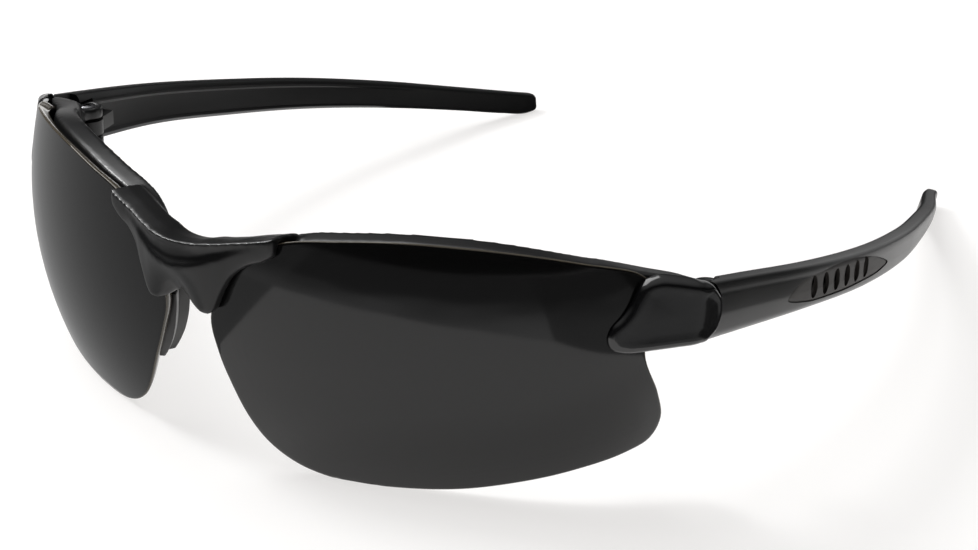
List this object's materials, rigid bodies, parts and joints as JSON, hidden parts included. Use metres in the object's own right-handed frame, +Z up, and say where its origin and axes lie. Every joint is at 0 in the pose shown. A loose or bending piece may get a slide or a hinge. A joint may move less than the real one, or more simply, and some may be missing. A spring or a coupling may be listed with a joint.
{
  "type": "safety glasses",
  "caption": "Wraparound half-rim safety glasses with smoked lenses, bridge with nose pads, glossy end caps and folding temples.",
  "frame": {"origin": "on the floor under the middle of the glasses' bounding box", "axes": "+X is the wearer's left, +Y points back along the temples, so the lenses face -Y, and +Z is up"},
  "size_m": [0.1364, 0.1782, 0.0382],
  "materials": {
    "frame_satin": "satin",
    "cap_gloss": "gloss",
    "lens_smoke": "gloss",
    "carrier_plastic": "satin",
    "pad_rubber": "matte",
    "screw_steel": "brushed",
    "nut_brass": "satin",
    "inlay_rubber": "matte"
  },
  "bodies": {
    "front": {"front_frame": "frame_satin", "end_cap_left": "cap_gloss", "end_cap_right": "cap_gloss", "lens_left": "lens_smoke", "lens_right": "lens_smoke", "nose_carrier_left": "carrier_plastic", "nose_carrier_right": "carrier_plastic", "nose_pad_left": "pad_rubber", "nose_pad_right": "pad_rubber", "hinge_screw_left": "screw_steel", "hinge_screw_right": "screw_steel", "hinge_nut_left": "nut_brass", "hinge_nut_right": "nut_brass"},
    "temple_left": {"temple_left": "frame_satin", "temple_inlay_left": "inlay_rubber"},
    "temple_right": {"temple_right": "frame_satin", "temple_inlay_right": "inlay_rubber"}
  },
  "joints": [
    {"name": "temple_left_fold", "type": "hinge", "parent": "front", "child": "temple_left", "pos_m": [0.0597, -0.04485, 0.0273], "axis": [0, 0, 1], "range_deg": [0, 90]},
    {"name": "temple_right_fold", "type": "hinge", "parent": "front", "child": "temple_right", "pos_m": [-0.0597, -0.04485, 0.0273], "axis": [0, 0, -1], "range_deg": [0, 84]}
  ]
}
